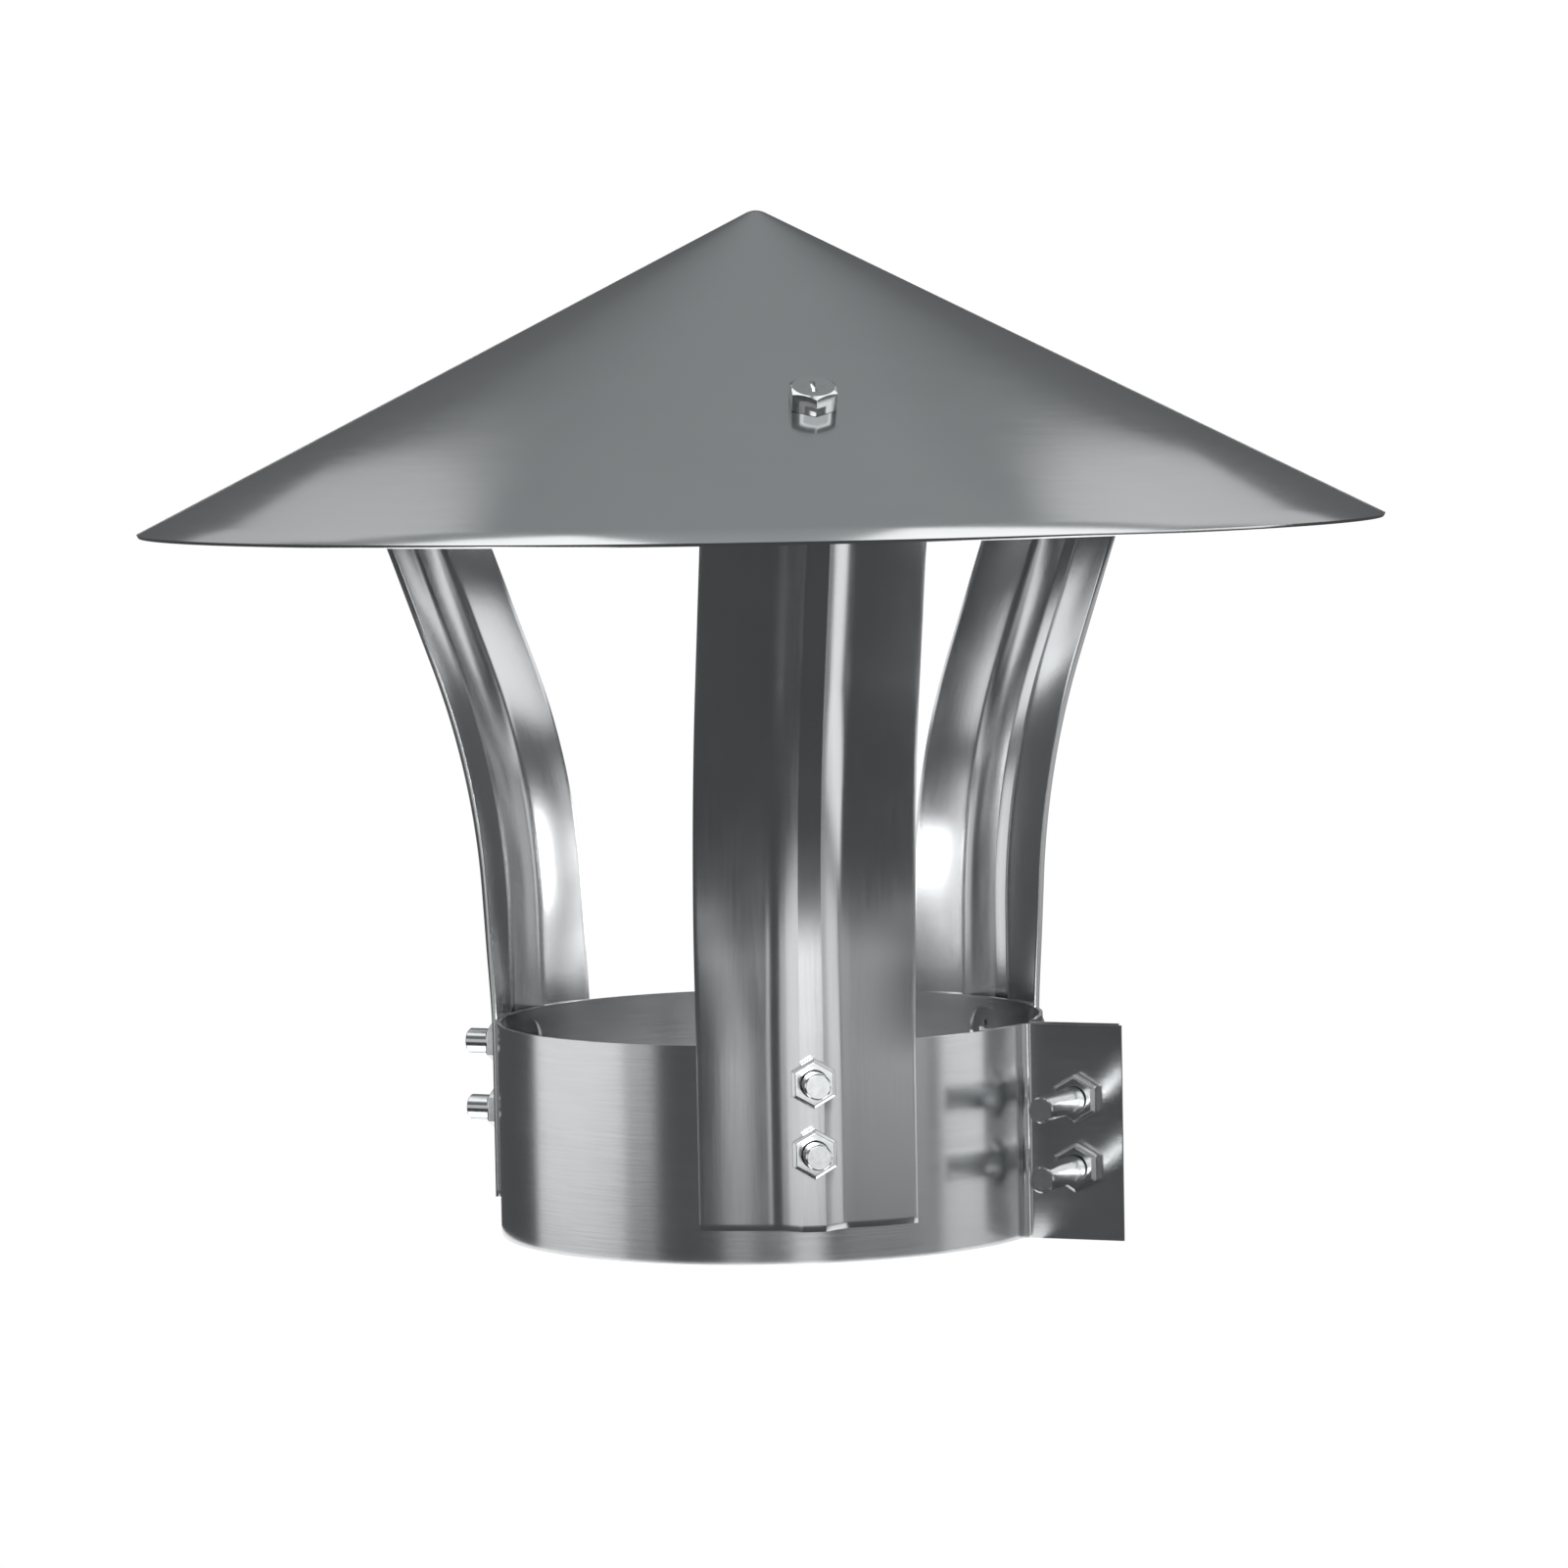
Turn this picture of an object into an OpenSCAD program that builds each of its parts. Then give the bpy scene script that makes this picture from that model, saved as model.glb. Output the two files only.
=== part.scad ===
// Chimney rain cap: a cone roof on three ribbed straps, held on the flue by a clamp collar.
// The origin is on the flue axis at the collar's lower edge, +Z is up and +X points to the clamp.

/* [Flue collar] */
// Outside diameter of the flue pipe that the collar grips
flue_d = 125; // [100:1:180]
// How much wider than the pipe the collar stands before it is drawn up
collar_slack = 2; // [0.5:0.1:4]
// Height of the collar band
collar_h = 50; // [48:1:80]
// Sheet thickness of the collar band
collar_t = 0.8; // [0.5:0.1:1.2]

/* [Clamp] */
// Gap between the two clamp ears
ear_gap = 3; // [1:0.1:6]
// How far the ears stand out from the collar
ear_reach = 24; // [21:0.5:40]
// How much shorter the rear ear is than the front one
rear_ear_cut = 2; // [0:0.1:3]
// Inside radius of the bend between the collar and an ear
ear_bend_r = 2.5; // [0.5:0.1:3]
// Distance from the collar's outside to the clamp bolts
clamp_bolt_out = 13.3; // [10:0.1:15]
// Distance between the two clamp bolts
clamp_bolt_pitch = 16; // [13:0.5:30]
// Length of a clamp bolt under its head
clamp_bolt_l = 30; // [16:1:45]

/* [Legs] */
// Width of the strap that a leg is made of
leg_w = 51.5; // [36:0.5:60]
// How far the left and rear legs stand off an even spacing of 120 degrees, in degrees
leg_offset = 2.4; // [0:0.1:5]
// Sheet thickness of a leg
leg_t = 1.2; // [0.8:0.1:1.6]
// Height of a leg's foot above the collar's lower edge
leg_foot_z = 8; // [2:0.5:16]
// Height above the collar at which a leg starts to sweep outwards
sweep_start = 20; // [5:1:40]
// Radius of the outward sweep
sweep_r = 165; // [100:1:240]
// Lean of the upper leg away from the vertical, in degrees
leg_lean = 22; // [10:0.5:28]
// Radius across the strap where it is free of the collar
wing_r = 95; // [80:1:200]
// Width of the flat crest of the rib
rib_crest_w = 5; // [3:0.1:8]
// Width of one flank of the rib
rib_flank_w = 7.5; // [6:0.1:10]
// Height of the rib over the strap
rib_h = 4.35; // [3.5:0.05:6]
// Outside radius of the bend between a leg and its tab
tab_bend_r = 5; // [4.5:0.1:7]
// Length of the tab, measured from the corner of the bend
tab_l = 24; // [20:0.5:32]

/* [Roof] */
// Diameter of the roof at its rim
roof_d = 292; // [250:1:340]
// Rise of the cone from rim to sharp tip
roof_rise = 73.5; // [50:0.5:95]
// Sheet thickness of the roof
roof_t = 0.8; // [0.5:0.1:1.2]
// Outside radius of the rounded tip
tip_r = 5; // [3:0.5:12]
// Height of the roof's rim above the collar
eave_h = 116.5; // [90:0.5:160]
// Distance from the corner of a leg's bend to the roof bolt
roof_bolt_in = 12; // [11:0.1:14]

/* [Fasteners] */
// Thread diameter of every bolt and screw
thread_d = 6; // [5:0.1:6.5]
// Width across the flats of nuts and bolt heads
hex_af = 10; // [9:0.1:11]
// Height of a nut
nut_h = 3.2; // [3:0.1:6]
// Height of a hexagon head
hex_head_h = 4.6; // [3:0.1:6]
// Width of the bevel round a nut's faces
hex_bevel = 0.7; // [0.2:0.1:1]
// Diameter of the low domed head of the left and rear roof bolts
dome_d = 12; // [10:0.5:14]
// Height of that head
dome_h = 2.2; // [1.8:0.1:3]
// Diameter of a countersunk head
csk_d = 11.3; // [10:0.1:12]
// Length of a leg screw with its countersunk head
leg_screw_l = 16; // [14:0.5:25]
// Distance from the collar's top edge down to the upper leg screw
leg_screw_drop = 8; // [8:0.5:12]
// Distance between the two screws of a leg
leg_screw_pitch = 16; // [14:0.5:20]
// Length of a roof bolt under its head
roof_bolt_l = 12; // [9:0.5:20]

/* [Clearances] */
// Radial clearance of a shank in its hole
hole_gap = 0.3; // [0.1:0.05:0.5]
// Radial clearance of a nut on its shank
thread_gap = 0.05; // [0.02:0.01:0.09]
// Clearance between a strap and the sheet that it lies on
lap_gap = 0.2; // [0.1:0.05:0.4]
// Clearance under a nut or a head
seat_gap = 0.05; // [0.02:0.01:0.1]

/* [Hidden] */
$fn = 128;

// Three legs round the flue, with the clamp between the front and the rear one
leg_step = 120;
front_angle = -leg_step / 2;
left_angle = leg_step * 1.5 - leg_offset;
rear_angle = leg_step / 2 - leg_offset;

sheet_grey = [0.62, 0.64, 0.65];
fastener_grey = [0.80, 0.81, 0.83];

// Shared radii of the fasteners
shank_r = thread_d / 2;
hole_r = shank_r + hole_gap;
hex_corner_r = hex_af / sqrt(3);
tip_bevel = 0.3;
dome_edge = 0.6;
recess_w = 1;
recess_l = 5;
recess_depth = 1.8;

// Collar
collar_ri = (flue_d + collar_slack) / 2;
collar_ro = collar_ri + collar_t;
ear_face_y = ear_gap / 2 + collar_t;
ear_tip_x = collar_ro + ear_reach;
ear_bend_y = ear_face_y + ear_bend_r;
ear_bend_x = sqrt(pow(collar_ro + ear_bend_r, 2) - pow(ear_bend_y, 2));
clamp_bolt_x = collar_ro + clamp_bolt_out;
clamp_upper_z = (collar_h + clamp_bolt_pitch) / 2;
clamp_lower_z = (collar_h - clamp_bolt_pitch) / 2;

// Leg screws: the heads lie in dimples, so that the pipe can pass them
screw_upper_z = collar_h - leg_screw_drop;
screw_lower_z = screw_upper_z - leg_screw_pitch;
head_face_x = collar_ri + 0.1;
csk_edge = 0.3;
csk_depth = csk_d / 2 - shank_r;
dimple_gap = 0.1;
dimple_wall = collar_t * sqrt(2);
dimple_depth = csk_d / 2 + dimple_gap - hole_r;

// Roof: a point on its outside at radius r has the height roof_z(r)
roof_r = roof_d / 2;
roof_slope = atan2(roof_rise, roof_r);
rim_z = collar_h + eave_h;
apex_z = rim_z + roof_rise;
function roof_z(r) = apex_z - r * tan(roof_slope);

// A leg's guide line runs up the middle of the strap's outer face, without its rib.
// Places on it are [distance from the flue axis, height, lean].
leg_r = collar_ro + lap_gap + leg_t;
sweep_z = collar_h + sweep_start;
sweep_end = [leg_r + sweep_r * (1 - cos(leg_lean)), sweep_z + sweep_r * sin(leg_lean)];
tab_drop = (roof_t + lap_gap) / cos(roof_slope);
// Length of the leaning stretch up to the corner where it meets the tab's line
lean_reach = (apex_z - tab_drop - sweep_end[1] - sweep_end[0] * tan(roof_slope))
    / (cos(leg_lean) + sin(leg_lean) * tan(roof_slope));
corner = sweep_end + lean_reach * [sin(leg_lean), cos(leg_lean)];
tab_turn = leg_lean + 90 - roof_slope;
corner_cut = tab_bend_r * tan(tab_turn / 2);
bend_centre = corner - corner_cut * [sin(leg_lean), cos(leg_lean)]
    - tab_bend_r * [cos(leg_lean), -sin(leg_lean)];

// Lengths of the guide line's five stretches, added up
upright_end = sweep_z - leg_foot_z;
sweep_stop = upright_end + sweep_r * leg_lean * PI / 180;
bend_start = sweep_stop + lean_reach - corner_cut;
bend_stop = bend_start + tab_bend_r * tab_turn * PI / 180;
leg_stop = bend_stop + tab_l - corner_cut;

function along(place, lean, length) = [
    place[0] + length * sin(lean), place[1] + length * cos(lean), lean
];
function guide(s) =
    s <= upright_end ? [leg_r, leg_foot_z + s, 0] :
    s <= sweep_stop ? on_sweep((s - upright_end) / sweep_r * 180 / PI) :
    s <= bend_start ? along(sweep_end, leg_lean, s - sweep_stop) :
    s <= bend_stop ? on_bend(leg_lean - (s - bend_start) / tab_bend_r * 180 / PI) :
    along(on_bend(leg_lean - tab_turn), leg_lean - tab_turn, s - bend_stop);
function on_sweep(lean) = [
    leg_r + sweep_r * (1 - cos(lean)), sweep_z + sweep_r * sin(lean), lean
];
function on_bend(lean) = [
    bend_centre[0] + tab_bend_r * cos(lean), bend_centre[1] - tab_bend_r * sin(lean), lean
];

// Where the roof bolts stand
roof_bolt_r = corner[0] - roof_bolt_in * cos(roof_slope);

// The strap hugs the collar, opens a little above it and takes the roof's curve at the tab
hug_stop = collar_h - leg_foot_z - 5;
hug_blend = 35;
flatten_blend = 28;
rib_fade = 16;
rib_fade_gap = 3;
function ease(t) = let (x = max(0, min(1, t))) x * x * (3 - 2 * x);
function mix(a, b, t) = a + (b - a) * t;
function cross_bend(s) = mix(
    mix(1 / leg_r, 1 / wing_r, ease((s - hug_stop) / hug_blend)),
    sin(roof_slope) / guide(s)[0],
    ease((s - bend_start + flatten_blend) / flatten_blend)
);
function rib_share(s) = 1 - ease((s - bend_start + rib_fade_gap + rib_fade) / rib_fade);
function rib_lift(u) = let (q = (abs(u) - rib_crest_w / 2) / rib_flank_w)
    rib_h * pow(1 - max(0, min(1, q)), 2);

// Places across the strap, from its middle to one edge, and then over the whole width
flank_steps = 5;
wing_steps = 3;
rib_foot_w = rib_crest_w / 2 + rib_flank_w;
half_width = concat(
    [for (i = [0 : flank_steps - 1]) rib_crest_w / 2 + i * rib_flank_w / flank_steps],
    [for (i = [0 : wing_steps]) rib_foot_w + i * (leg_w / 2 - rib_foot_w) / wing_steps]
);
last = len(half_width) - 1;
across = concat([for (i = [last : -1 : 0]) -half_width[i]], half_width);

// One point of a section: u runs round the strap and lift stands out from its plain face
function section_point(place, bend, u, lift) =
    let (turn = u * bend * 180 / PI)
    let (out = lift * cos(turn) - (1 - cos(turn)) / bend)
    [place[0] + out * cos(place[2]), (1 / bend + lift) * sin(turn), place[1] - out * sin(place[2])];
function section(s) =
    let (place = guide(s), bend = cross_bend(s), share = rib_share(s)) concat(
        [for (u = across) section_point(place, bend, u, share * rib_lift(u))],
        [for (i = [len(across) - 1 : -1 : 0])
            section_point(place, bend, across[i], share * rib_lift(across[i]) - leg_t)]
    );

// Sections stand along the leg's guide line, closer together in the bend
body_steps = 22;
bend_steps = 6;
stations = concat(
    [0],
    [for (i = [0 : body_steps]) mix(hug_stop, bend_start, i / body_steps)],
    [for (i = [1 : bend_steps]) mix(bend_start, bend_stop, i / bend_steps)],
    [leg_stop]
);

module strap() {
    rings = [for (s = stations) section(s)];
    n = len(rings[0]);
    top = len(rings) - 1;
    polyhedron(
        points = [for (ring = rings) for (p = ring) p],
        faces = concat(
            [[for (j = [0 : n - 1]) j]],
            [for (i = [0 : top - 1]) for (j = [0 : n - 1])
                [i * n + j, (i + 1) * n + j, (i + 1) * n + (j + 1) % n, i * n + (j + 1) % n]],
            [[for (j = [n - 1 : -1 : 0]) top * n + j]]
        ),
        convexity = 8
    );
}

// A place on a leg's centre plane, with +Z pointing away from the flue
module out_from_flue(x, z) {
    translate([x, 0, z]) rotate([0, 90, 0]) children();
}

// The place of a roof bolt, with +Z square to the roof and pointing up
module on_roof() {
    translate([roof_bolt_r, 0, roof_z(roof_bolt_r)]) rotate([0, roof_slope, 0]) children();
}

// The place of a clamp bolt, with +Z pointing from its head to its tip
module through_ears(z) {
    translate([clamp_bolt_x, ear_face_y, z]) rotate([90, 0, 0]) children();
}

// A nut: a hexagonal block with a bevel along each edge of its two faces
module nut() {
    half = hex_af / 2;
    profile = [
        [-half, hex_bevel], [-half + hex_bevel, 0], [half - hex_bevel, 0], [half, hex_bevel],
        [half, nut_h - hex_bevel], [half - hex_bevel, nut_h],
        [-half + hex_bevel, nut_h], [-half, nut_h - hex_bevel]
    ];
    color(fastener_grey) difference() {
        intersection_for (turn = [0, 60, 120])
            rotate([90, 0, turn])
                linear_extrude(height = 2 * hex_af, center = true) polygon(profile);
        translate([0, 0, -1]) cylinder(h = nut_h + 2, r = shank_r + thread_gap);
    }
}

// Half profile of a plain shank's upper part, with its bevelled tip
function shank_tip(length) = [
    [shank_r, length - tip_bevel], [shank_r - tip_bevel, length], [0, length]
];

// The cross recess of a head whose flat top is at the origin and whose shank goes up
module cross_recess() {
    for (turn = [0, 90])
        rotate([0, 0, turn])
            translate([-recess_l / 2, -recess_w / 2, -1])
                cube([recess_l, recess_w, recess_depth + 1]);
}

// A hexagon bolt: its head is below the origin and its shank above. The head's corners are
// turned off by a cone, which leaves a round top, and the top has a cross recess.
module hex_bolt(length) {
    sunk = hex_head_h / 2;
    top_r = 0.95 * hex_af / 2;
    corner_drop = (hex_corner_r - top_r) * tan(30);
    color(fastener_grey) difference() {
        union() {
            rotate_extrude() polygon(concat([[0, -sunk], [shank_r, -sunk]], shank_tip(length)));
            intersection() {
                translate([0, 0, -hex_head_h]) rotate([0, 0, 30])
                    cylinder(h = hex_head_h, r = hex_corner_r, $fn = 6);
                rotate_extrude() polygon([
                    [0, -hex_head_h], [top_r, -hex_head_h],
                    [hex_corner_r, corner_drop - hex_head_h], [hex_af, corner_drop - hex_head_h],
                    [hex_af, 0], [0, 0]
                ]);
            }
        }
        translate([0, 0, -hex_head_h]) cross_recess();
    }
}

// A bolt with a low domed head, which stays hidden behind the cone's edge
module dome_bolt(length) {
    steps = 6;
    // Radius of the dome's sphere, which passes through the top and the rim's upper edge
    crown = dome_h - dome_edge;
    ball_r = (pow(dome_d / 2, 2) + pow(crown, 2)) / (2 * crown);
    half_turn = asin(dome_d / 2 / ball_r);
    dome = [for (i = [0 : steps]) let (a = half_turn * i / steps)
        [ball_r * sin(a), ball_r * (1 - cos(a)) - dome_h]];
    color(fastener_grey) difference() {
        rotate_extrude()
            polygon(concat(dome, [[dome_d / 2, 0], [shank_r, 0]], shank_tip(length)));
        translate([0, 0, -dome_h]) cross_recess();
    }
}

// A countersunk screw: its flat face is at the origin and its shank goes up
module countersunk_screw() {
    color(fastener_grey) difference() {
        rotate_extrude() polygon(concat(
            [[0, 0], [csk_d / 2, 0], [csk_d / 2, csk_edge], [shank_r, csk_edge + csk_depth]],
            shank_tip(leg_screw_l)
        ));
        cross_recess();
    }
}

// Roof: one sheet cone with a rounded tip and a plain cut rim
module roof_cone() {
    tip_steps = 5;
    tip_centre_z = apex_z - tip_r / cos(roof_slope);
    outside = [for (i = [0 : tip_steps]) let (a = roof_slope * i / tip_steps)
        [tip_r * sin(a), tip_centre_z + tip_r * cos(a)]];
    inside = [for (i = [tip_steps : -1 : 0]) let (a = roof_slope * i / tip_steps)
        [(tip_r - roof_t) * sin(a), tip_centre_z + (tip_r - roof_t) * cos(a)]];
    rim = [[roof_r, rim_z], [roof_r - roof_t * sin(roof_slope), rim_z - roof_t * cos(roof_slope)]];
    color(sheet_grey) difference() {
        rotate_extrude() polygon(concat(outside, rim, inside));
        for (angle = [front_angle, left_angle, rear_angle])
            rotate([0, 0, angle]) on_roof()
                translate([0, 0, -2 * roof_t]) cylinder(h = 4 * roof_t, r = hole_r);
    }
}

// Outline of the collar's outside (depth 0) or inside (depth collar_t), with the ears
module collar_outline(depth) {
    circle(r = collar_ro - depth);
    translate([0, depth - ear_face_y])
        square([ear_tip_x + (depth > 0 ? 1 : 0), 2 * (ear_face_y - depth)]);
    for (side = [-1, 1])
        difference() {
            polygon([[0, 0], [ear_bend_x, side * ear_bend_y], [ear_bend_x, 0]]);
            translate([ear_bend_x, side * ear_bend_y]) circle(r = ear_bend_r + depth);
        }
}

module at_each_leg_screw() {
    for (angle = [front_angle, left_angle, rear_angle], z = [screw_upper_z, screw_lower_z])
        rotate([0, 0, angle]) out_from_flue(head_face_x, z) children();
}

// Collar: one strip rolled round the flue, bent out into two ears, with dimpled screw holes
module collar_band() {
    mouth_r = csk_d / 2 + dimple_gap;
    color(sheet_grey) difference() {
        union() {
            linear_extrude(height = collar_h) difference() {
                collar_outline(0);
                collar_outline(collar_t);
            }
            at_each_leg_screw() cylinder(
                h = csk_edge + dimple_depth,
                r1 = mouth_r + dimple_wall + csk_edge, r2 = hole_r + dimple_wall
            );
        }
        at_each_leg_screw() rotate_extrude() polygon([
            [0, -2], [mouth_r, -2], [mouth_r, csk_edge], [hole_r, csk_edge + dimple_depth],
            [hole_r, csk_edge + 2 * dimple_depth], [0, csk_edge + 2 * dimple_depth]
        ]);
        for (z = [clamp_upper_z, clamp_lower_z])
            through_ears(z) translate([0, 0, -1]) cylinder(h = 2 * ear_face_y + 2, r = hole_r);
        translate([ear_tip_x - rear_ear_cut, 0, -1])
            cube([rear_ear_cut + 1, ear_face_y + 1, collar_h + 2]);
    }
}

// Leg: a strap with a pressed rib, swept out under the roof and bent over into a tab
module leg(angle) {
    crest_x = leg_r + rib_h;
    color(sheet_grey) rotate([0, 0, angle]) difference() {
        strap();
        for (z = [screw_upper_z, screw_lower_z])
            out_from_flue(crest_x - 2 * leg_t, z) cylinder(h = 4 * leg_t, r = hole_r);
        on_roof() translate([0, 0, -2 * (roof_t + leg_t)]) cylinder(h = 3 * leg_t, r = hole_r);
    }
}

module leg_screw(angle, z) {
    rotate([0, 0, angle]) out_from_flue(head_face_x, z) countersunk_screw();
}

// A leg's nuts stand with two corners on the upright line
module leg_nut(angle, z) {
    rotate([0, 0, angle]) out_from_flue(leg_r + rib_h + seat_gap, z) rotate([0, 0, 30]) nut();
}

module clamp_bolt(z) {
    through_ears(z) translate([0, 0, -seat_gap]) hex_bolt(clamp_bolt_l);
}

module clamp_nut(z) {
    through_ears(z) translate([0, 0, 2 * ear_face_y + seat_gap]) nut();
}

module roof_bolt(angle) {
    rotate([0, 0, angle]) on_roof() translate([0, 0, seat_gap]) mirror([0, 0, 1]) children();
}

// The nut stays clear of the tab, which curves down a little beside the bolt
module roof_nut(angle) {
    tab_sag = pow(hex_corner_r, 2) * sin(roof_slope) / roof_bolt_r / 2;
    rotate([0, 0, angle]) on_roof() mirror([0, 0, 1])
        translate([0, 0, roof_t + lap_gap + leg_t + tab_sag + seat_gap]) nut();
}

roof_cone();
collar_band();
leg(front_angle);  // leg_front
leg(left_angle);  // leg_left
leg(rear_angle);  // leg_rear
leg_screw(front_angle, screw_upper_z);  // leg_front_screw_upper
leg_screw(front_angle, screw_lower_z);  // leg_front_screw_lower
leg_screw(left_angle, screw_upper_z);  // leg_left_screw_upper
leg_screw(left_angle, screw_lower_z);  // leg_left_screw_lower
leg_screw(rear_angle, screw_upper_z);  // leg_rear_screw_upper
leg_screw(rear_angle, screw_lower_z);  // leg_rear_screw_lower
leg_nut(front_angle, screw_upper_z);  // leg_front_nut_upper
leg_nut(front_angle, screw_lower_z);  // leg_front_nut_lower
leg_nut(left_angle, screw_upper_z);  // leg_left_nut_upper
leg_nut(left_angle, screw_lower_z);  // leg_left_nut_lower
leg_nut(rear_angle, screw_upper_z);  // leg_rear_nut_upper
leg_nut(rear_angle, screw_lower_z);  // leg_rear_nut_lower
clamp_bolt(clamp_upper_z);  // clamp_bolt_upper
clamp_bolt(clamp_lower_z);  // clamp_bolt_lower
clamp_nut(clamp_upper_z);  // clamp_nut_upper
clamp_nut(clamp_lower_z);  // clamp_nut_lower
roof_bolt(front_angle) hex_bolt(roof_bolt_l);  // roof_bolt_front
roof_bolt(left_angle) dome_bolt(roof_bolt_l);  // roof_bolt_left
roof_bolt(rear_angle) dome_bolt(roof_bolt_l);  // roof_bolt_rear
roof_nut(front_angle);  // roof_nut_front
roof_nut(left_angle);  // roof_nut_left
roof_nut(rear_angle);  // roof_nut_rear
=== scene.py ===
from math import asin, cos, pi, radians, sin, sqrt, tan

import bmesh
import bpy
from mathutils import Matrix, Vector


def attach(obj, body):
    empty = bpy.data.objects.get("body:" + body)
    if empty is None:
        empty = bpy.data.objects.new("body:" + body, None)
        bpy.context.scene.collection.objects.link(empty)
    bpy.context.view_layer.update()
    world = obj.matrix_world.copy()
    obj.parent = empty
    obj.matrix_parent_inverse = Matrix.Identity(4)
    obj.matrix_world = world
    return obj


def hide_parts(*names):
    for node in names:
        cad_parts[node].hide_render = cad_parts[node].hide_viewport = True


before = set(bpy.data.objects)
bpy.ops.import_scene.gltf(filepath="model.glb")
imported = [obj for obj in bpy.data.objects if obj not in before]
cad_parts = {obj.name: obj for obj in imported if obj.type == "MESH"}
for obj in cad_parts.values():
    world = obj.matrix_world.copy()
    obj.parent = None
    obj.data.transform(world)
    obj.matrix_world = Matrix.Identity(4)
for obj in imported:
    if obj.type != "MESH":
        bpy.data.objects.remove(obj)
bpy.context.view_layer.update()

# Camera: a long lens about 1.6 m away, level with the roof and turned 22 degrees from square to the
# clamp ears. From there the rim shows as a thin line and the collar shows a little of its inside.
camera_place = (0.5944, -1.4405, 0.2124)
camera_turn = 22.2653
camera_tilt = 86.05
camera_roll = -1.034
camera_data = bpy.data.cameras.new("camera")
camera_data.sensor_width = 36
camera_data.lens = 152.4
camera = bpy.data.objects.new("camera", camera_data)
bpy.context.scene.collection.objects.link(camera)
camera.matrix_world = (
    Matrix.Translation(camera_place)
    @ Matrix.Rotation(radians(camera_turn), 4, "Z")
    @ Matrix.Rotation(radians(camera_tilt), 4, "X")
    @ Matrix.Rotation(radians(camera_roll), 4, "Z")
)
bpy.context.scene.camera = camera


# Collar band: one strip of rolled stainless sheet, bent into a ring with two ears for the clamp.
# Its ends are cut square and deburred. Six dimples are pressed outwards for the leg screws' heads.
MM = 0.001
near = 0.1
collar_h = 50
collar_sheet = 0.8
collar_inside_r = 63.5
collar_middle_r = collar_inside_r + collar_sheet / 2
ear_gap = 3
ear_tip_x = 88.3
rear_ear_tip_x = 86.3
ear_middle_y = ear_gap / 2 + collar_sheet / 2
ear_bend_r = 2.9
ear_bend_y = ear_middle_y + ear_bend_r
ear_bend_steps = 12
collar_steps = 256
ear_bend_x = sqrt((collar_middle_r + ear_bend_r) ** 2 - ear_bend_y ** 2)
ear_bend_turn = pi / 2 - asin(ear_bend_y / (collar_middle_r + ear_bend_r))
clamp_bolt_x = 77.6
clamp_bolt_heights = (33, 17)
leg_screw_heights = (42, 26)
leg_angles = {"front": -60, "left": 177.6, "rear": 57.6}
ear_punch_length = 10
hole_r = 3.3
dimple_mouth_r = 5.75
dimple_depth = 2.45
dimple_wall = 1.13
hollow_lead = 2
screw_face_x = 63.6
screw_edge = 0.3


def place(x, y, z):
    """A shift in millimetres."""
    return Matrix.Translation(Vector((x, y, z)) * MM)


def turn(degrees, axis):
    """A turn in degrees about one of the axes."""
    return Matrix.Rotation(radians(degrees), 4, axis)


def deselect():
    bpy.ops.object.select_all(action="DESELECT")


def open_piece(name):
    """Names the primitive just added, fixes its place in its mesh and opens it for editing."""
    piece = bpy.context.object
    piece.name = piece.data.name = name
    bpy.ops.object.transform_apply(location=True, rotation=True, scale=True)
    bpy.ops.object.mode_set(mode="EDIT")
    return piece


def pick(kind, wanted):
    """Selects the corners, edges or faces whose points, in millimetres, all pass a test."""
    bpy.ops.mesh.select_mode(type=kind)
    bpy.ops.mesh.select_all(action="DESELECT")
    mesh = bmesh.from_edit_mesh(bpy.context.object.data)
    items = {"VERT": mesh.verts, "EDGE": mesh.edges, "FACE": mesh.faces}[kind]
    for item in items:
        points = [item.co] if kind == "VERT" else [corner.co for corner in item.verts]
        item.select_set(all(wanted(point / MM) for point in points))
    mesh.select_flush_mode()
    bmesh.update_edit_mesh(bpy.context.object.data)


def use_modifier(piece, kind, **settings):
    """Adds a modifier and applies it at once."""
    modifier = piece.modifiers.new(kind.lower(), kind)
    for name, value in settings.items():
        setattr(modifier, name, value)
    bpy.context.view_layer.objects.active = piece
    bpy.ops.object.modifier_apply(modifier=modifier.name)


def combine(piece, tool, how):
    """Cuts a tool out of a piece, or joins it on, and throws the tool away."""
    use_modifier(piece, "BOOLEAN", object=tool, operation=how, solver="EXACT")
    bpy.data.objects.remove(tool)


def turned_bar(name, radius, steps, corners=64):
    """A round bar up the Z axis: each step is a length and the radius that it ends with."""
    deselect()
    bpy.ops.mesh.primitive_circle_add(vertices=corners, radius=radius * MM, fill_type="NGON")
    piece = open_piece(name)
    bpy.ops.mesh.select_all(action="SELECT")
    height = 0
    for length, end_radius in steps:
        bpy.ops.mesh.extrude_region_move(TRANSFORM_OT_translate={"value": (0, 0, length * MM)})
        height += length
        share = end_radius / radius
        bpy.ops.transform.resize(value=(share, share, share), center_override=(0, 0, height * MM))
        radius = end_radius
    bpy.ops.mesh.select_all(action="SELECT")
    bpy.ops.mesh.normals_make_consistent(inside=False)
    bpy.ops.object.mode_set(mode="OBJECT")
    return piece


def punch_hole(piece, where, length):
    """Cuts an M6 screw's hole, starting at a place and going up its Z axis."""
    punch = turned_bar("punch", hole_r, [(length, hole_r)])
    punch.data.transform(where)
    combine(piece, punch, "DIFFERENCE")


def round_edges(piece, width, degrees):
    """Rounds, to a width in millimetres, all edges that are sharper than an angle."""
    use_modifier(
        piece, "BEVEL", width=width * MM, segments=2, limit_method="ANGLE",
        angle_limit=radians(degrees)
    )


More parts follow.
